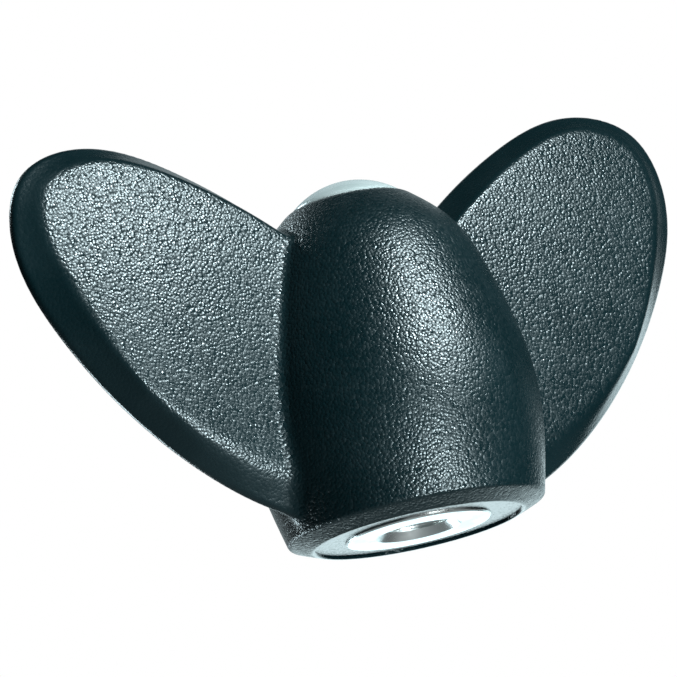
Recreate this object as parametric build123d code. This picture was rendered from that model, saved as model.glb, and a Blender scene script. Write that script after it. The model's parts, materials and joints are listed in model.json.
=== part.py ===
from build123d import *
import math
import os

os.makedirs("parts", exist_ok=True)

# A moulded wing nut with a threaded metal bushing in its base and a snap-in cap in its top.
# Millimetres. The origin is the middle of the base, +Z runs up the hub, the wings lie along X.

# Hub: its outer profile as (radius, height), from the foot chamfer up to the mouth
hub_profile = [(9.35, 0.7), (10.6, 8.2), (9.12, 17.0), (7.25, 21.5), (4.45, 24.3)]
hub_height = 24.4
rim_radius = 7.7
recess_radius = 7.5
recess_depth = 0.18
foot_round = 0.4

# Wings: the outline of one as (distance from the hub axis, height), tip included
wing_outline = [
    (4.2, 20.9),
    (7.7, 23.8),
    (13.7, 27.65),
    (20.9, 29.85),
    (26.1, 27.95),
    (27.6, 23.3),
    (25.5, 16.6),
    (19.2, 8.3),
    (12.1, 3.0),
    (7.6, 1.0),
]
wing_half_thickness = 2.8
wing_edge_round = 1.2
bulge_radius = 110.0
bulge_middle = (12.5, 16.0)

# Bushing, threaded M6 from below
collar_radius = 5.3
collar_length = 1.6
bushing_length = 14.0
knurl_radius = 5.0
knurl_depth = 0.35
knurl_teeth = 32
lower_knurl = (1.6, 6.0)
upper_knurl = (8.0, 13.4)
neck_radius = 4.3
thread_minor_radius = 2.5
hole_depth = 11.5
hole_cone_height = 1.4
mouth_radius = 3.1

# Cap, and the pocket it snaps into
ledge_radius = 4.15
ledge_height = 23.2
pocket_radius = 3.55
pocket_floor = 17.6
cap_clearance = 0.08
cap_rim_height = 24.45
cap_crown_height = 26.0
skirt_wall = 0.8
skirt_bottom = 18.6
bead_height = 19.8
bead_half_width = 0.45
bead_depth = 0.2
groove_depth = 0.25


def turned(*points):
    """A solid turned about Z from a closed outline of (radius, height) points."""
    return revolve(Plane.XZ * make_face(Polyline(*points, close=True)), Axis.Z)


def ring(outer, inner, low, high):
    """A plain ring about Z."""
    return turned((inner, low), (outer, low), (outer, high), (inner, high))


def hub():
    flank = Spline(*hub_profile)
    crown = Polyline(hub_profile[-1], (ledge_radius + 0.1, hub_height), (0, hub_height))
    foot = Polyline((0, hub_height), (0, 0), (rim_radius, 0), hub_profile[0])
    blank = revolve(Plane.XZ * make_face([flank, *crown.edges(), *foot.edges()]), Axis.Z)
    foot_height = hub_profile[0][1]
    foot_edge = blank.edges().sort_by(lambda e: abs(e.center().Z - foot_height))[0]
    return fillet(foot_edge, foot_round)


def wing():
    """One wing on +X: a plate with bulged faces and a rounded edge."""
    edge = Spline(*wing_outline)
    face = Plane.XZ * make_face([edge, Line(edge @ 1, edge @ 0)])
    plate = Pos(0, wing_half_thickness, 0) * extrude(face, 2 * wing_half_thickness)
    for side in (1, -1):
        centre = Pos(bulge_middle[0], side * (bulge_radius - wing_half_thickness), bulge_middle[1])
        plate = plate & centre * Sphere(bulge_radius)
    rim_edges = plate.edges().filter_by(lambda e: e.length > 2 * wing_outline[-1][0] + 30)
    return fillet(rim_edges, wing_edge_round)


def knurl(low, high):
    """A band of straight knurling, with a groove between each two teeth."""
    band = Pos(0, 0, low) * Cylinder(knurl_radius, high - low, align=(Align.CENTER, Align.CENTER, Align.MIN))
    tooth_angle = 360 / knurl_teeth
    half_width = math.radians(tooth_angle) * knurl_radius * 0.42
    notch = Plane.XY * make_face(
        Polyline(
            (knurl_radius - knurl_depth, 0),
            (knurl_radius + 0.1, half_width),
            (knurl_radius + 0.1, -half_width),
            close=True,
        )
    )
    groove = Pos(0, 0, low) * extrude(notch, high - low)
    return band - [Rot(0, 0, i * tooth_angle) * groove for i in range(knurl_teeth)]


def bushing_envelope():
    """The outside of the bushing, without its hole."""
    core = turned(
        (0, 0),
        (collar_radius, 0),
        (collar_radius, collar_length),
        (neck_radius, collar_length),
        (neck_radius, bushing_length),
        (0, bushing_length),
    )
    return core + knurl(*lower_knurl) + knurl(*upper_knurl)


def threaded_bushing():
    hole = turned(
        (0, 0),
        (mouth_radius, 0),
        (thread_minor_radius, mouth_radius - thread_minor_radius),
        (thread_minor_radius, hole_depth),
        (0, hole_depth + hole_cone_height),
    )
    return bushing_envelope() - hole


def cap_pocket():
    """The space that is cut from the hub for the cap, with its snap groove."""
    groove_radius = pocket_radius + groove_depth
    bore = turned(
        (0, pocket_floor),
        (pocket_radius, pocket_floor),
        (pocket_radius, bead_height - bead_half_width - groove_depth),
        (groove_radius, bead_height - bead_half_width),
        (groove_radius, bead_height + bead_half_width),
        (pocket_radius, bead_height + bead_half_width + groove_depth),
        (pocket_radius, ledge_height),
        (ledge_radius, ledge_height),
        (ledge_radius, hub_height + 1),
        (0, hub_height + 1),
    )
    return bore


def wing_body():
    right = wing()
    body = hub() + right + mirror(right, about=Plane.YZ)
    body = body - ring(recess_radius, 0, -1, recess_depth)
    return body - bushing_envelope() - cap_pocket()


def cover_cap():
    """A domed cap on a hollow skirt, with a snap bead round the skirt."""
    flange = ledge_radius - cap_clearance
    bead = pocket_radius - cap_clearance
    skirt = bead - bead_depth
    inner = skirt - skirt_wall
    rise = cap_crown_height - cap_rim_height
    dome_radius = (flange**2 + rise**2) / (2 * rise)
    half_angle = math.degrees(math.asin(flange / dome_radius))
    dome = CenterArc((0, cap_crown_height - dome_radius), dome_radius, 90 - half_angle, half_angle)
    rest = Polyline(
        (0, cap_crown_height),
        (0, ledge_height),
        (inner, ledge_height),
        (inner, skirt_bottom),
        (skirt, skirt_bottom),
        (skirt, bead_height - bead_half_width),
        (bead, bead_height - bead_half_width + bead_depth),
        (bead, bead_height + bead_half_width - bead_depth),
        (skirt, bead_height + bead_half_width),
        (skirt, ledge_height),
        (flange, ledge_height),
        (flange, cap_rim_height),
    )
    return revolve(Plane.XZ * make_face([dome, *rest.edges()]), Axis.Z)


nodes = {
    "wing_body": wing_body(),
    "threaded_bushing": threaded_bushing(),
    "cover_cap": cover_cap(),
}
for name, solid in nodes.items():
    export_step(solid, f"parts/{name}.step")
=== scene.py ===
import json
import math

import bmesh
import bpy
import numpy as np
from mathutils import Matrix, Vector

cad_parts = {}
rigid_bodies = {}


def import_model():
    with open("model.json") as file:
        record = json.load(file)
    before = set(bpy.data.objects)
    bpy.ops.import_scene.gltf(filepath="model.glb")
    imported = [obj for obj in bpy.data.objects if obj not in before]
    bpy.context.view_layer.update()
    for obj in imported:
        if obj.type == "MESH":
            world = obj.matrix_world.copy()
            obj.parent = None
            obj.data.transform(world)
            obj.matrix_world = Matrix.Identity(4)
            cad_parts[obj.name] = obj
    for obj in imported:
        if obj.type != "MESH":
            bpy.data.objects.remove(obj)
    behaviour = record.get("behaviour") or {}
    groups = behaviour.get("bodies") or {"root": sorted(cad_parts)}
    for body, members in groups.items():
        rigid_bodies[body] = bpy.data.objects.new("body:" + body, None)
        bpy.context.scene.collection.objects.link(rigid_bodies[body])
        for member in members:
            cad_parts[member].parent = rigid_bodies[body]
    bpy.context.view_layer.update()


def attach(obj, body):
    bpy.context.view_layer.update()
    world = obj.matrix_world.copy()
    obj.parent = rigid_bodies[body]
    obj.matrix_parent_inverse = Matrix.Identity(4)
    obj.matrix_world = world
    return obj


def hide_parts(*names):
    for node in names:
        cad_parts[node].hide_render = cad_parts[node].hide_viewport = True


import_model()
mm = 0.001  # every size below is in millimetres until a mesh is made


def smoothCurve(points, count):
    # a natural cubic spline through the points, spaced by their distances
    p = np.array(points, float)
    gaps = np.hypot(*np.diff(p, axis=0).T)
    knots = np.r_[0, np.cumsum(gaps)]
    n = len(p)
    system, right = np.eye(n), np.zeros((n, 2))
    for i in range(1, n - 1):
        system[i, i - 1 : i + 2] = gaps[i - 1], 2 * (gaps[i - 1] + gaps[i]), gaps[i]
        right[i] = 6 * ((p[i + 1] - p[i]) / gaps[i] - (p[i] - p[i - 1]) / gaps[i - 1])
    bend = np.linalg.solve(system, right)
    at = np.linspace(0, knots[-1], count)
    i = np.clip(np.searchsorted(knots, at) - 1, 0, n - 2)
    h, a, b = gaps[i][:, None], (knots[i + 1] - at)[:, None], (at - knots[i])[:, None]
    curved = (bend[i] * a**3 + bend[i + 1] * b**3) / (6 * h)
    return curved + (p[i] / h - bend[i] * h / 6) * a + (p[i + 1] / h - bend[i + 1] * h / 6) * b


def softMax(a, b, k):
    return np.maximum(a, b) + np.maximum(k - np.abs(a - b), 0) ** 2 / (4 * k)


def softMin(a, b, k):
    return -softMax(-a, -b, k)


def meshObject(name, points, faces, scale=mm):
    mesh = bpy.data.meshes.new(name)
    mesh.from_pydata([tuple(p) for p in np.asarray(points) * scale], [], faces)
    mesh.update()
    thing = bpy.data.objects.new(name, mesh)
    bpy.context.scene.collection.objects.link(thing)
    return thing


def tidyMesh(thing, sharpDegrees):
    # merges doubles, turns faces outward, smooths all but the sharp edges
    bm = bmesh.new()
    bm.from_mesh(thing.data)
    bmesh.ops.remove_doubles(bm, verts=bm.verts, dist=1e-7)
    bmesh.ops.dissolve_degenerate(bm, edges=bm.edges, dist=1e-7)
    bmesh.ops.recalc_face_normals(bm, faces=bm.faces)
    bm.to_mesh(thing.data)
    bm.free()
    thing.data.shade_smooth()
    thing.data.set_sharp_from_angle(angle=math.radians(sharpDegrees))


def turned(name, outline, segments, sharpDegrees=40):
    # a closed outline of (radius, height) turned about the hub's axis
    angles = np.arange(segments) * 2 * math.pi / segments
    points = [(r * math.cos(t), r * math.sin(t), z) for r, z in outline for t in angles]
    faces = []
    rows = len(outline)
    for i in range(rows):
        for j in range(segments):
            k, m = (i + 1) % rows, (j + 1) % segments
            faces.append((i * segments + j, i * segments + m, k * segments + m, k * segments + j))
    thing = meshObject(name, points, faces)
    tidyMesh(thing, sharpDegrees)
    return thing


def applyModifiers(thing):
    # bakes the modifiers into a plain mesh and takes them off
    seen = bpy.context.evaluated_depsgraph_get()
    plain = bpy.data.meshes.new_from_object(thing.evaluated_get(seen), depsgraph=seen)
    thing.modifiers.clear()
    thing.data = plain


def cutAway(thing, cutter):
    cut = thing.modifiers.new("cut", "BOOLEAN")
    cut.operation, cut.solver, cut.object = "DIFFERENCE", "EXACT", cutter
    applyModifiers(thing)
    bpy.data.objects.remove(cutter)


def vertexPlaces(thing):
    flat = np.empty(len(thing.data.vertices) * 3)
    thing.data.vertices.foreach_get("co", flat)
    return flat.reshape(-1, 3) / mm


def storeValues(thing, name, values):
    # a number on every vertex, which nodes read by its name
    layer = thing.data.attributes.new(name, "FLOAT", "POINT")
    layer.data.foreach_set("value", np.asarray(values, np.float32))


def addNode(tree, kind, place=(0, 0), **settings):
    node = tree.nodes.new(kind)
    node.location = place
    for key, value in settings.items():
        setattr(node, key, value)
    return node


def mathNode(tree, operation, *values, place=(0, 0), clamp=False):
    # a maths node whose inputs are numbers or other nodes' sockets
    node = addNode(tree, "ShaderNodeMath", place, operation=operation, use_clamp=clamp)
    for socket, value in zip(node.inputs, values):
        if isinstance(value, (int, float)):
            socket.default_value = value
        else:
            tree.links.new(value, socket)
    return node.outputs[0]


def newGroup(name, kind, inputs, outputs):
    tree = bpy.data.node_groups.new(name, kind)
    for label, socketType, value in inputs:
        socket = tree.interface.new_socket(label, in_out="INPUT", socket_type=socketType)
        if value is not None:
            socket.default_value = value
    for label, socketType in outputs:
        tree.interface.new_socket(label, in_out="OUTPUT", socket_type=socketType)
    return tree, addNode(tree, "NodeGroupInput", (-900, 0)), addNode(tree, "NodeGroupOutput", (900, 0))


# the moulding: hub and both wings as one blended surface

moulding = {
    "hubProfile": [(9.35, 0.7), (10.6, 8.2), (9.12, 17.0), (7.25, 21.5), (4.45, 24.3)],
    "hubHeight": 24.4,
    "topSoftness": 0.4,
    "rimRadius": 7.7,
    "footSoftness": 0.13,
    "wingOutline": [(4.2, 20.9), (7.7, 23.8), (13.7, 27.65), (20.9, 29.85), (26.1, 27.95),
                    (27.6, 23.3), (25.5, 16.6), (19.2, 8.3), (12.1, 3.0), (7.6, 1.0)],
    "wingHalf": 2.75,
    "bulgeHeight": 17.0,
    "bulgeUp": 150.0,
    "bulgeStart": 12.0,
    "bulgeOut": 210.0,
    "edgeRound": 0.55,
    "leastNoseRise": 0.2,
    "edgeMiddle": (16.0, 16.0),
    "edgeWidths": [(-180, 1.3), (-150, 1.8), (-110, 1.6), (-80, 1.25), (-45, 1.2), (-10, 1.6),
                   (25, 2.1), (45, 1.8), (70, 1.35), (90, 1.3), (180, 1.3)],
    "shoulderTop": 0.3,
    "shoulderFoot": 1.5,
    "shoulderSlope": 0.35,
    "shoulderSpan": (-2, 5),
    "rootBlendTop": 0.5,
    "rootBlendFoot": 1.0,
    "rootBlendSpan": (3, 21),
    "cell": 0.24,
    "fineCell": 0.12,
    "gridReach": (28.2, 11.0),
    "gridHeights": (-0.8, 1.6, 30.4),
    "cavitySegments": 144,
    "pocketSegments": 96,
    "sharpAngle": 32,
    "grainFade": 0.5,
    "grainPastHub": 0.2,
    "footFade": (0.02, 0.1),
    "topFade": (5, 24.4, 0.4),
    "onSurface": 0.05,
    "polishRing": (5.2, 7.72),
    "polishTop": 0.2,
    "cavity": [(0, -2), (13, -2), (13, 0), (7.56, 0), (7.5, 0.06), (7.5, 0.18), (5.3, 0.18),
               (5.3, 1.6), (5.0, 1.6), (5.0, 14), (0, 14)],
    "pocket": [(0, 17.6), (3.55, 17.6), (3.55, 19.1), (3.8, 19.35), (3.8, 20.25), (3.55, 20.5),
               (3.55, 23.2), (4.15, 23.2), (4.15, 24.2), (4.3, 24.5), (4.35, 26), (0, 26)],
}

hubLine = smoothCurve(moulding["hubProfile"], 300)
wingLine = smoothCurve(moulding["wingOutline"], 170)


def hubField(radius, z):
    # signed distance to the hub's flank, closed by its flat top
    slope = np.gradient(hubLine[:, 0], hubLine[:, 1])
    below = np.minimum(z - hubLine[0, 1], 0) * slope[0]
    above = np.maximum(z - hubLine[-1, 1], 0) * slope[-1]
    reach = np.interp(z, hubLine[:, 1], hubLine[:, 0]) + below + above
    lean = np.interp(z, hubLine[:, 1], slope)
    flank = (radius - reach) / np.sqrt(1 + lean**2)
    return softMax(flank, z - moulding["hubHeight"], moulding["topSoftness"])


def rimDepth(x, z):
    # how far inside the wing's outline a point lies, negative outside
    shape = np.broadcast(x, z).shape
    px, pz = (np.broadcast_to(v, shape).ravel() for v in (x, z))
    start, end = wingLine[:-1], wingLine[1:]
    run = end - start
    closed = np.r_[wingLine, [(0, wingLine[-1, 1])], [(0, wingLine[0, 1])], wingLine[:1]]
    depth = np.empty(px.size)
    chunk = 20000
    for first in range(0, px.size, chunk):
        part = slice(first, first + chunk)
        dx, dz = px[part, None] - start[:, 0], pz[part, None] - start[:, 1]
        along = np.clip((dx * run[:, 0] + dz * run[:, 1]) / (run**2).sum(1), 0, 1)
        near = np.hypot(dx - along * run[:, 0], dz - along * run[:, 1]).min(1)
        a, b = closed[:-1], closed[1:]
        crosses = (a[:, 1] > pz[part, None]) != (b[:, 1] > pz[part, None])
        rise = np.where(b[:, 1] == a[:, 1], 1, b[:, 1] - a[:, 1])
        side = px[part, None] < (b[:, 0] - a[:, 0]) * (pz[part, None] - a[:, 1]) / rise + a[:, 0]
        depth[part] = np.where((crosses & side).sum(1) % 2 == 1, near, -near)
    return depth.reshape(shape)


def wingBulge(x, z):
    # half the wing's thickness, thickest near the hub and a little below the middle
    f = moulding
    out = np.maximum(x - f["bulgeStart"], 0)
    return f["wingHalf"] - (z - f["bulgeHeight"]) ** 2 / f["bulgeUp"] - out**2 / f["bulgeOut"]


def edgeField(x, y, z):
    # the wing's rim: a round nose that leans back to meet the face at the rim's width
    f = moulding
    bearing = np.degrees(np.arctan2(z - f["edgeMiddle"][1], x - f["edgeMiddle"][0]))
    run = np.interp(bearing, *np.transpose(f["edgeWidths"])) - f["edgeRound"]
    rise = np.maximum(wingBulge(x, z), f["edgeRound"] + f["leastNoseRise"])
    lean = np.arccos(f["edgeRound"] / np.hypot(rise, run)) - np.arctan2(run, rise)
    u = f["edgeRound"] - rimDepth(x, z)
    onNose = u * np.cos(lean) - y * np.sin(lean) > 0
    return np.where(onNose, np.hypot(u, y), u * np.sin(lean) + y * np.cos(lean)) - f["edgeRound"]


def wingField(x, y, z):
    f = moulding
    low = np.interp(z - f["shoulderSlope"] * x, f["shoulderSpan"], [1, 0])
    softness = f["shoulderTop"] + (f["shoulderFoot"] - f["shoulderTop"]) * low
    return softMax(y - wingBulge(x, z), edgeField(x, y, z), softness)


def bodyField(x, y, z):
    # below zero inside the moulding; both wings at once by symmetry
    f = moulding
    x, y = np.abs(x), np.abs(y)
    radius = np.hypot(x, y)
    blend = np.interp(z, f["rootBlendSpan"], [f["rootBlendFoot"], f["rootBlendTop"]])
    whole = softMin(hubField(radius, z), wingField(x, y, z), blend)
    footRadius, footHeight = f["hubProfile"][0]
    run = math.hypot(footRadius - f["rimRadius"], footHeight)
    cone = ((radius - f["rimRadius"]) * footHeight - z * (footRadius - f["rimRadius"])) / run
    return softMax(whole, cone, f["footSoftness"])


def grainAmount(points):
    # full grain on the hub and the wings' faces, none on the rims, the foot and the cut surfaces
    f = moulding
    x, y, z = np.abs(points.T)
    radius = np.hypot(x, y)
    rim = edgeField(x, y, z) - (y - wingBulge(x, z))
    face = np.clip(0.5 - rim / f["grainFade"], 0, 1)
    onHub = np.clip(1 - (hubField(radius, z) - f["grainPastHub"]) / f["grainFade"], 0, 1)
    amount = np.maximum(face, onHub)
    footStart, footSpan = f["footFade"]
    amount = amount * np.clip((z - footStart) / footSpan, 0, 1)
    topRadius, topEnd, topSpan = f["topFade"]
    amount = amount * np.where(radius < topRadius, np.clip((topEnd - z) / topSpan, 0, 1), 1)
    return np.where(np.abs(bodyField(x, y, z)) < f["onSurface"], amount, 0)


def polishAmount(points):
    # the foot ring and its recess come smoother from the mould
    inner, outer = moulding["polishRing"]
    radius = np.hypot(points[:, 0], points[:, 1])
    return (points[:, 2] < moulding["polishTop"]) & (radius > inner) & (radius < outer)


def fieldMesh(field, xs, ys, zs):
    # a mesh of four-sided faces where the field is zero, each point slid onto the surface
    grid = (xs, ys, zs)
    value = field(xs[:, None, None], ys[None, :, None], zs[None, None, :])
    shape = tuple(n - 1 for n in value.shape)
    total, hits = np.zeros(shape + (3,)), np.zeros(shape)
    crossings = []
    for axis in range(3):
        low = [slice(None)] * 3
        high = [slice(None)] * 3
        low[axis], high[axis] = slice(0, -1), slice(1, None)
        a, b = value[tuple(low)], value[tuple(high)]
        cut = (a < 0) != (b < 0)
        share = np.where(cut, a / np.where(cut, a - b, 1), 0)
        place = []
        for k in range(3):
            spread = [None] * 3
            spread[k] = slice(None)
            line = grid[k][:-1] if k == axis else grid[k]
            spot = np.broadcast_to(line[tuple(spread)], cut.shape)
            if k == axis:
                spot = spot + share * np.diff(grid[k])[tuple(spread)]
            place.append(spot)
        first, second = [k for k in range(3) if k != axis]
        for i in (0, 1):
            for j in (0, 1):
                part = [slice(None)] * 3
                part[first] = slice(i, shape[first] + i)
                part[second] = slice(j, shape[second] + j)
                part = tuple(part)
                hits += cut[part]
                for k in range(3):
                    total[..., k] += np.where(cut[part], place[k][part], 0)
        crossings.append((axis, first, second, cut, a < 0))
    used = hits > 0
    number = np.full(shape, -1)
    number[used] = np.arange(used.sum())
    points = total[used] / hits[used][:, None]
    faces = []
    for axis, first, second, cut, inside in crossings:
        spots = np.argwhere(cut)
        keep = (spots[:, first] > 0) & (spots[:, second] > 0)
        keep &= (spots[:, first] < shape[first]) & (spots[:, second] < shape[second])
        spots = spots[keep]
        corners = []
        for i, j in ((1, 1), (0, 1), (0, 0), (1, 0)):
            cellSpot = spots.copy()
            cellSpot[:, first] -= i
            cellSpot[:, second] -= j
            corners.append(number[tuple(cellSpot.T)])
        quads = np.stack(corners, 1)
        flip = inside[tuple(spots.T)] == (axis != 1)
        quads[~flip] = quads[~flip][:, ::-1]
        faces.append(quads)
    step, leastSlope, longestMove = 0.02, 0.2, 0.15
    for _ in range(3):
        here = field(*points.T)
        slope = np.stack([(field(*(points + step * e).T) - here) / step for e in np.eye(3)], 1)
        move = -here[:, None] * slope / np.maximum((slope**2).sum(1), leastSlope)[:, None]
        points = points + np.clip(move, -longestMove, longestMove)
    return points, np.concatenate(faces).tolist()


def gridLine(start, end, cell):
    return np.linspace(start, end, int(math.ceil((end - start) / cell)) + 1)


def mirrored(line):
    return np.r_[-line[:0:-1], line]


def makeWingBody():
    f = moulding
    xs, ys = (mirrored(gridLine(0, reach, f["cell"])) for reach in f["gridReach"])
    bottom, fineTop, top = f["gridHeights"]
    zs = np.r_[gridLine(bottom, fineTop, f["fineCell"])[:-1], gridLine(fineTop, top, f["cell"])]
    points, faces = fieldMesh(bodyField, xs, ys, zs)
    body = meshObject("wingBody", points, faces)
    cutAway(body, turned("cavity", f["cavity"], f["cavitySegments"]))
    cutAway(body, turned("pocket", f["pocket"], f["pocketSegments"]))
    tidyMesh(body, f["sharpAngle"])
    storeValues(body, "grain", grainAmount(vertexPlaces(body)))
    storeValues(body, "polish", polishAmount(vertexPlaces(body)))
    print("wing body:", len(body.data.polygons), "faces")
    return body


# the bushing: a plain turning whose thread and knurling come from one geometry tree

bushing = {
    "outline": [(3.1, 0), (5.2, 0), (5.3, 0.1), (5.3, 1.5), (5.2, 1.6), (4.95, 1.6), (4.95, 1.7),
                (4.95, 5.9), (4.95, 6.0), (4.3, 6.0), (4.3, 8.0), (4.95, 8.0), (4.95, 8.1),
                (4.95, 13.3), (4.95, 13.4), (4.3, 13.4), (4.3, 13.9), (4.2, 14), (0, 14)],
    "coneTip": (0, 12.9),
    "boreRadius": 2.5,
    "boreDepth": 11.5,
    "mouthRadius": 3.1,
    "rowStep": 0.1,
    "segments": 192,
    "pitch": 1.0,
    "threadDepth": 0.5,
    "threadFrom": 0.5,
    "threadTo": 10.8,
    "teeth": 32,
    "toothDepth": 0.3,
    "knurlRadius": 4.95,
    "knurlFrom": 1.65,
    "threadRunIn": 0.4,
    "threadRunOut": 0.8,
    "boreTopGap": 0.15,
    "sameRadius": 0.01,
    "sharpAngle": 28,
}


def ridgeTree():
    # pushes the thread into the bore and the knurl's grooves into the outside
    inputs = [("Geometry", "NodeSocketGeometry", None), ("Pitch", "NodeSocketFloat", 0.001),
              ("Thread Depth", "NodeSocketFloat", 0.0005), ("Teeth", "NodeSocketFloat", 32.0),
              ("Tooth Depth", "NodeSocketFloat", 0.0003), ("Material", "NodeSocketMaterial", None)]
    tree, start, end = newGroup("ridgedTurning", "GeometryNodeTree", inputs,
                                [("Geometry", "NodeSocketGeometry")])
    place = addNode(tree, "GeometryNodeInputPosition", (-900, -300))
    split = addNode(tree, "ShaderNodeSeparateXYZ", (-700, -300))
    tree.links.new(place.outputs[0], split.inputs[0])
    turn = mathNode(tree, "ARCTAN2", split.outputs[1], split.outputs[0], place=(-500, -300))
    turns = mathNode(tree, "DIVIDE", turn, 2 * math.pi, place=(-350, -300))
    rise = mathNode(tree, "DIVIDE", split.outputs[2], start.outputs["Pitch"], place=(-500, -100))
    phase = mathNode(tree, "SUBTRACT", rise, turns, place=(-200, -100))
    wave = mathNode(tree, "PINGPONG", phase, 0.5, place=(-50, -100))
    flank = mathNode(tree, "MULTIPLY_ADD", wave, 2.8, -0.2, place=(100, -100), clamp=True)
    cutIn = mathNode(tree, "MULTIPLY", flank, start.outputs["Thread Depth"], place=(250, -100))
    aroundTeeth = mathNode(tree, "MULTIPLY", turns, start.outputs["Teeth"], place=(-200, -400))
    tooth = mathNode(tree, "PINGPONG", aroundTeeth, 0.5, place=(-50, -400))
    groove = mathNode(tree, "MULTIPLY_ADD", tooth, -5.0, 1.0, place=(100, -400), clamp=True)
    cutDown = mathNode(tree, "MULTIPLY", groove, start.outputs["Tooth Depth"], place=(250, -400))
    shares = []
    for label, depth, drop in (("thread", cutIn, -100), ("knurl", cutDown, -400)):
        mask = addNode(tree, "GeometryNodeInputNamedAttribute", (250, drop - 180), data_type="FLOAT")
        mask.inputs["Name"].default_value = label
        shares.append(mathNode(tree, "MULTIPLY", depth, mask.outputs["Attribute"], place=(420, drop)))
    push = mathNode(tree, "SUBTRACT", *shares, place=(560, -250))
    flat = addNode(tree, "ShaderNodeCombineXYZ", (250, 200))
    tree.links.new(split.outputs[0], flat.inputs[0])
    tree.links.new(split.outputs[1], flat.inputs[1])
    outward = addNode(tree, "ShaderNodeVectorMath", (420, 200), operation="NORMALIZE")
    tree.links.new(flat.outputs[0], outward.inputs[0])
    offset = addNode(tree, "ShaderNodeVectorMath", (640, 150), operation="SCALE")
    tree.links.new(outward.outputs[0], offset.inputs[0])
    tree.links.new(push, offset.inputs["Scale"])
    move = addNode(tree, "GeometryNodeSetPosition", (640, 0))
    tree.links.new(start.outputs["Geometry"], move.inputs["Geometry"])
    tree.links.new(offset.outputs[0], move.inputs["Offset"])
    real = addNode(tree, "GeometryNodeRealizeInstances", (720, 0))
    tree.links.new(move.outputs[0], real.inputs[0])
    paint = addNode(tree, "GeometryNodeSetMaterial", (800, 0))
    tree.links.new(real.outputs[0], paint.inputs["Geometry"])
    tree.links.new(start.outputs["Material"], paint.inputs["Material"])
    tree.links.new(paint.outputs[0], end.inputs[0])
    return tree


def setInputs(modifier, values):
    for socket in modifier.node_group.interface.items_tree:
        if socket.in_out == "INPUT" and socket.name in values:
            modifier[socket.identifier] = values[socket.name]


def makeBushing(steel):
    f = bushing
    rows = np.arange(f["boreDepth"] - f["rowStep"], f["threadFrom"] + f["boreTopGap"], -f["rowStep"])
    bore = [(f["boreRadius"], f["boreDepth"])] + [(f["boreRadius"], z) for z in rows]
    bore.append((f["boreRadius"], f["mouthRadius"] - f["boreRadius"]))
    thing = turned("threadedBushing", f["outline"] + [f["coneTip"]] + bore, f["segments"])
    x, y, z = vertexPlaces(thing).T
    radius = np.hypot(x, y)
    runIn = np.clip((z - f["threadFrom"]) / f["threadRunIn"], 0, 1)
    runOut = np.clip((f["threadTo"] - z) / f["threadRunOut"], 0, 1)
    onBore = np.abs(radius - f["boreRadius"]) < f["sameRadius"]
    onKnurl = np.abs(radius - f["knurlRadius"]) < f["sameRadius"]
    storeValues(thing, "thread", np.where(onBore, runIn * runOut, 0))
    storeValues(thing, "knurl", onKnurl & (z > f["knurlFrom"]))
    ridges = thing.modifiers.new("ridges", "NODES")
    ridges.node_group = ridgeTree()
    setInputs(ridges, {"Pitch": f["pitch"] * mm, "Thread Depth": f["threadDepth"] * mm,
                       "Teeth": float(f["teeth"]), "Tooth Depth": f["toothDepth"] * mm,
                       "Material": steel})
    applyModifiers(thing)
    thing.data.shade_smooth()
    thing.data.set_sharp_from_angle(angle=math.radians(f["sharpAngle"]))
    print("bushing:", len(thing.data.polygons), "faces")
    return thing


# the cap: a low dome on a hollow skirt with a snap bead

cap = {
    "flange": 4.07,
    "rimHeight": 24.45,
    "crownHeight": 26.0,
    "ledgeHeight": 23.2,
    "skirt": 3.27,
    "bead": 3.47,
    "inner": 2.47,
    "skirtBottom": 18.6,
    "beadHeight": 19.8,
    "beadHalf": 0.45,
    "lipRound": 0.12,
    "domeSteps": 24,
    "segments": 128,
}


def makeCap():
    f = cap
    rise = f["crownHeight"] - f["rimHeight"]
    ball = (f["flange"] ** 2 + rise**2) / (2 * rise)
    widest = math.asin(f["flange"] / ball)
    tilts = np.linspace(0, widest * 0.97, f["domeSteps"])
    dome = [(ball * math.sin(t), f["crownHeight"] - ball * (1 - math.cos(t))) for t in tilts]
    low, high = f["beadHeight"] - f["beadHalf"], f["beadHeight"] + f["beadHalf"]
    step = f["bead"] - f["skirt"]
    rest = [(f["flange"], f["rimHeight"] - f["lipRound"]), (f["flange"], f["ledgeHeight"] + 0.05),
            (f["flange"] - 0.05, f["ledgeHeight"]), (f["skirt"], f["ledgeHeight"]), (f["skirt"], high),
            (f["bead"], high - step), (f["bead"], low + step), (f["skirt"], low),
            (f["skirt"], f["skirtBottom"] + 0.1), (f["skirt"] - 0.1, f["skirtBottom"]),
            (f["inner"], f["skirtBottom"]), (f["inner"], f["ledgeHeight"] - 0.3),
            (f["inner"] - 0.3, f["ledgeHeight"]), (0, f["ledgeHeight"])]
    thing = turned("coverCap", dome + rest, f["segments"], 35)
    print("cap:", len(thing.data.polygons), "faces")
    return thing


# finishes

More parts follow.
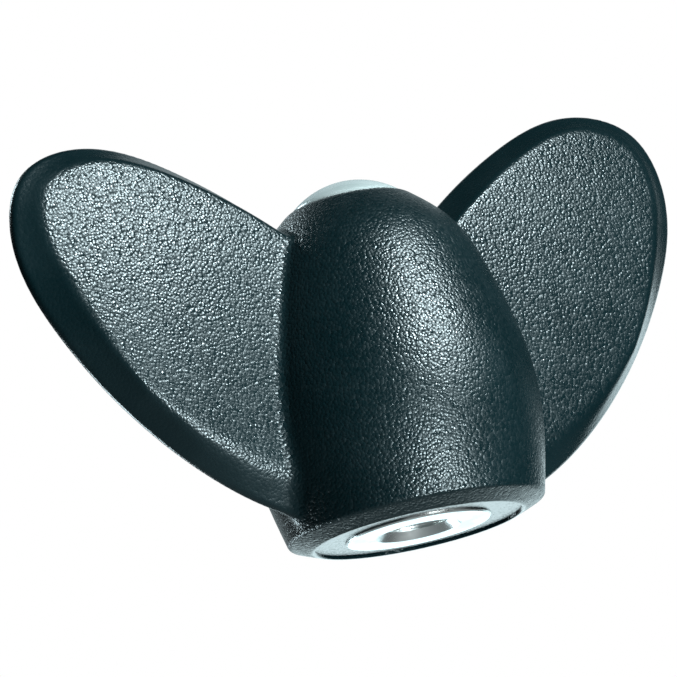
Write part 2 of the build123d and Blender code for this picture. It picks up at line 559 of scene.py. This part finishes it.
def grainGroup():
    # fine moulded or blasted texture: a height and a scatter of tiny bright and dull spots
    inputs = [("Vector", "NodeSocketVector", None), ("Size", "NodeSocketFloat", 0.00025),
              ("Amount", "NodeSocketFloat", 1.0)]
    outputs = [("Height", "NodeSocketFloat"), ("Spots", "NodeSocketFloat")]
    tree, start, end = newGroup("fineGrain", "ShaderNodeTree", inputs, outputs)
    scale = mathNode(tree, "DIVIDE", 1.0, start.outputs["Size"], place=(-700, -200))
    coarse = addNode(tree, "ShaderNodeTexNoise", (-400, 200), noise_dimensions="3D")
    coarse.inputs["Detail"].default_value = 1.0
    coarse.inputs["Roughness"].default_value = 0.65
    cells = addNode(tree, "ShaderNodeTexVoronoi", (-400, -200), feature="F1")
    for texture in (coarse, cells):
        tree.links.new(start.outputs["Vector"], texture.inputs["Vector"])
        tree.links.new(scale, texture.inputs["Scale"])
    cellShade = addNode(tree, "ShaderNodeSeparateColor", (-150, -200))
    tree.links.new(cells.outputs["Color"], cellShade.inputs[0])
    domed = mathNode(tree, "POWER", cells.outputs["Distance"], 2.0, place=(-150, 0))
    uneven = mathNode(tree, "MULTIPLY", coarse.outputs[0], 0.4, place=(-150, 200))
    mixed = mathNode(tree, "SUBTRACT", uneven, domed, place=(50, 0))
    height = mathNode(tree, "MULTIPLY", mixed, start.outputs["Amount"], place=(300, 0))
    spots = mathNode(tree, "MULTIPLY", cellShade.outputs[0], start.outputs["Amount"], place=(300, 300))
    tree.links.new(height, end.inputs["Height"])
    tree.links.new(spots, end.inputs["Spots"])
    return tree


def handlingGroup():
    # soft patches from hands and stray dust, as a colour and a change of roughness
    inputs = [("Vector", "NodeSocketVector", None), ("Clean", "NodeSocketColor", (0.5, 0.5, 0.5, 1)),
              ("Rubbed", "NodeSocketColor", (0.6, 0.6, 0.6, 1)), ("Patch Size", "NodeSocketFloat", 0.008),
              ("Share", "NodeSocketFloat", 0.5), ("Dulling", "NodeSocketFloat", 0.05)]
    outputs = [("Color", "NodeSocketColor"), ("Roughness Change", "NodeSocketFloat")]
    tree, start, end = newGroup("handling", "ShaderNodeTree", inputs, outputs)
    scale = mathNode(tree, "DIVIDE", 1.0, start.outputs["Patch Size"], place=(-700, -200))
    noise = addNode(tree, "ShaderNodeTexNoise", (-400, 0), noise_dimensions="3D")
    noise.inputs["Detail"].default_value = 4.0
    tree.links.new(start.outputs["Vector"], noise.inputs["Vector"])
    tree.links.new(scale, noise.inputs["Scale"])
    patch = addNode(tree, "ShaderNodeMapRange", (-150, 0), interpolation_type="SMOOTHSTEP")
    patch.inputs["From Min"].default_value = 0.38
    patch.inputs["From Max"].default_value = 0.66
    tree.links.new(noise.outputs[0], patch.inputs["Value"])
    amount = mathNode(tree, "MULTIPLY", patch.outputs[0], start.outputs["Share"], place=(100, 0))
    tint = addNode(tree, "ShaderNodeMix", (350, 150), data_type="RGBA")
    tree.links.new(amount, tint.inputs["Factor"])
    tree.links.new(start.outputs["Clean"], tint.inputs[6])
    tree.links.new(start.outputs["Rubbed"], tint.inputs[7])
    change = mathNode(tree, "MULTIPLY", amount, start.outputs["Dulling"], place=(350, -150))
    tree.links.new(tint.outputs[2], end.inputs["Color"])
    tree.links.new(change, end.inputs["Roughness Change"])
    return tree


groups = {"grain": grainGroup(), "handling": handlingGroup()}


def newFinish(f):
    # a Principled material whose colour, roughness and bump come from the two shared groups
    material = bpy.data.materials.new(f["name"])
    material.use_nodes = True
    tree = material.node_tree
    shader = tree.nodes["Principled BSDF"]
    for label, value in f["shader"].items():
        shader.inputs[label].default_value = value
    place = addNode(tree, "ShaderNodeTexCoord", (-1300, 0))
    handling = addNode(tree, "ShaderNodeGroup", (-900, 200), node_tree=groups["handling"])
    grain = addNode(tree, "ShaderNodeGroup", (-900, -200), node_tree=groups["grain"])
    for node, values in ((handling, f["handling"]), (grain, f["grain"])):
        tree.links.new(place.outputs["Object"], node.inputs["Vector"])
        for label, value in values.items():
            node.inputs[label].default_value = value
    tree.links.new(handling.outputs["Color"], shader.inputs["Base Color"])
    dull = mathNode(tree, "ADD", handling.outputs["Roughness Change"], f["roughness"], place=(-500, 100))
    spotted = mathNode(tree, "MULTIPLY_ADD", grain.outputs["Spots"], f["spotDulling"], dull,
                       place=(-300, 100))
    bump = addNode(tree, "ShaderNodeBump", (-300, -200))
    bump.inputs["Strength"].default_value = f["bumpStrength"]
    bump.inputs["Distance"].default_value = f["bumpDepth"] * mm
    tree.links.new(grain.outputs["Height"], bump.inputs["Height"])
    tree.links.new(bump.outputs[0], shader.inputs["Normal"])
    if "mask" in f:
        mask = addNode(tree, "ShaderNodeAttribute", (-1300, -300), attribute_name=f["mask"])
        faded = mathNode(tree, "MAXIMUM", mask.outputs["Fac"], f["leastGrain"], place=(-1100, -300))
        tree.links.new(faded, grain.inputs["Amount"])
        polish = addNode(tree, "ShaderNodeAttribute", (-700, -400), attribute_name=f["polishMask"])
        spotted = mathNode(tree, "MULTIPLY_ADD", polish.outputs["Fac"], f["polishShift"], spotted,
                           place=(-100, 100))
    tree.links.new(spotted, shader.inputs["Roughness"])
    return material


blackPlastic = {
    "name": "grainedBlackPlastic",
    "shader": {"Specular Tint": (0.76, 0.95, 1.0, 1.0), "IOR": 1.5},
    "handling": {"Clean": (0.0012, 0.0075, 0.0095, 1), "Rubbed": (0.003, 0.011, 0.0135, 1),
                 "Patch Size": 0.006, "Share": 0.7, "Dulling": 0.03},
    "grain": {"Size": 0.00022},
    "roughness": 0.23,
    "spotDulling": 0.18,
    "bumpStrength": 1.0,
    "bumpDepth": 0.042,
    "mask": "grain",
    "leastGrain": 0.3,
    "polishMask": "polish",
    "polishShift": -0.2,
}

paleCap = {
    "name": "paleCapPlastic",
    "shader": {"Specular Tint": (0.8, 0.97, 1.0, 1.0), "IOR": 1.5, "Coat Weight": 0.3,
               "Coat Roughness": 0.15},
    "handling": {"Clean": (0.31, 0.41, 0.42, 1), "Rubbed": (0.36, 0.46, 0.47, 1),
                 "Patch Size": 0.003, "Share": 0.8, "Dulling": 0.1},
    "grain": {"Size": 0.0004, "Amount": 0.1},
    "roughness": 0.22,
    "spotDulling": 0.04,
    "bumpStrength": 1.0,
    "bumpDepth": 0.02,
}

brightSteel = {
    "name": "turnedBrightSteel",
    "shader": {"Metallic": 1.0},
    "handling": {"Clean": (0.80, 0.86, 0.86, 1), "Rubbed": (0.66, 0.73, 0.74, 1),
                 "Patch Size": 0.0025, "Share": 0.7, "Dulling": 0.15},
    "grain": {"Size": 0.0005, "Amount": 0.25},
    "roughness": 0.24,
    "spotDulling": 0.08,
    "bumpStrength": 1.0,
    "bumpDepth": 0.03,
}

paleFloor = {
    "name": "paleFloor",
    "shader": {},
    "handling": {"Clean": (0.30, 0.31, 0.31, 1), "Rubbed": (0.28, 0.29, 0.29, 1),
                 "Patch Size": 0.3, "Share": 0.5, "Dulling": 0.02},
    "grain": {"Size": 0.002, "Amount": 0.1},
    "roughness": 0.7,
    "spotDulling": 0.02,
    "bumpStrength": 0.2,
    "bumpDepth": 0.1,
}


def assemble():
    steel = newFinish(brightSteel)
    made = [(makeWingBody(), "wing_body", "nut", "moulding", newFinish(blackPlastic)),
            (makeBushing(steel), "threaded_bushing", "nut", "bushing", steel),
            (makeCap(), "cover_cap", "cap", "cap", newFinish(paleCap))]
    for piece, node, rides, slotName, finish in made:
        if not piece.data.materials:
            piece.data.materials.append(finish)
        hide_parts(node)
        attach(piece, rides)
    print("pieces placed:", len(made))


assemble()

# camera, lights and floor

view = {
    "azimuth": -32.49,
    "elevation": -11.9,
    "roll": -12.45,
    "distance": 395.63,
    "aim": (-2.55, 0.9, 14.79),
    "lens": 293.9,
    "sensor": 36.0,
}

# each light: bearing and height in degrees, then distance, width, brightness and colour
studio = {
    "aim": (0, 0, 12),
    "floorHeight": -450.0,
    "lights": {
        "key": (20.0, 32.5, 0.5, 0.13, 120.0, (1, 1, 1)),
        "low": (0.0, -26.0, 0.3, 0.07, 105.0, (1, 1, 1)),
        "underBack": (137.0, -15.0, 0.4, 0.38, 1.35, (0.76, 0.96, 1.0)),
        "backdrop": (147.5, 12.0, 0.75, 1.1, 0.55, (0.8, 0.96, 1.0)),
        "backKey": (197.0, 38.0, 0.5, 0.2, 12.0, (0.8, 0.95, 1.0)),
        "backLow": (195.0, -22.0, 0.35, 0.1, 16.0, (0.8, 0.95, 1.0)),
    },
    "seenBackground": 1.0,
    "roomLight": 0.012,
    "seenFloor": 0.95,
    "floorGlow": (0.97, 1.0, 1.0, 1),
    "floorReach": 3000,
}


def direction(azimuth, elevation):
    a, e = math.radians(azimuth), math.radians(elevation)
    return Vector((math.sin(a) * math.cos(e), -math.cos(a) * math.cos(e), math.sin(e)))


def placeCamera():
    camera = bpy.data.objects.new("camera", bpy.data.cameras.new("camera"))
    camera.data.lens, camera.data.sensor_width = view["lens"], view["sensor"]
    camera.data.clip_start, camera.data.clip_end = 0.01, 20
    back = direction(view["azimuth"], view["elevation"])
    turn = back.to_track_quat("Z", "Y").to_matrix() @ Matrix.Rotation(math.radians(view["roll"]), 3, "Z")
    camera.matrix_world = turn.to_4x4()
    camera.location = (Vector(view["aim"]) + back * view["distance"]) * mm
    bpy.context.scene.collection.objects.link(camera)
    bpy.context.scene.camera = camera


def placeLight(name, azimuth, elevation, distance, size, brightness, colour):
    lamp = bpy.data.lights.new(name, "AREA")
    lamp.shape, lamp.size, lamp.color = "DISK", size, colour
    lamp.energy = brightness * math.pi * math.pi * size**2 / 4
    thing = bpy.data.objects.new(name, lamp)
    away = direction(azimuth, elevation)
    thing.location = away * distance + Vector(studio["aim"]) * mm
    thing.rotation_euler = away.to_track_quat("Z", "Y").to_euler()
    thing.visible_camera = False
    bpy.context.scene.collection.objects.link(thing)


def placeFloor():
    low, far = studio["floorHeight"], studio["floorReach"]
    corners = [(-far, -far, low), (far, -far, low), (far, far, low), (-far, far, low)]
    floor = meshObject("floor", corners, [(0, 1, 2, 3)])
    finish = newFinish(paleFloor)
    tree = finish.node_tree
    shader = tree.nodes["Principled BSDF"]
    path = addNode(tree, "ShaderNodeLightPath", (-700, 500))
    seen = mathNode(tree, "MULTIPLY", path.outputs["Is Camera Ray"], studio["seenFloor"], place=(-500, 500))
    tree.links.new(seen, shader.inputs["Emission Strength"])
    shader.inputs["Emission Color"].default_value = studio["floorGlow"]
    floor.data.materials.append(finish)


def lightRoom():
    # the background shows white, while the room itself stays dim
    world = bpy.data.worlds.new("studio")
    bpy.context.scene.world = world
    world.use_nodes = True
    tree = world.node_tree
    path = addNode(tree, "ShaderNodeLightPath", (-600, 0))
    extra = studio["seenBackground"] - studio["roomLight"]
    level = mathNode(tree, "MULTIPLY_ADD", path.outputs["Is Camera Ray"], extra, studio["roomLight"],
                     place=(-300, 0))
    tree.links.new(level, tree.nodes["Background"].inputs["Strength"])
    tree.nodes["Background"].inputs["Color"].default_value = (1, 1, 1, 1)


placeCamera()
for name, settings in studio["lights"].items():
    placeLight(name, *settings)
placeFloor()
lightRoom()
bpy.context.scene.view_settings.view_transform = "Standard"
print("camera, lights and floor placed")
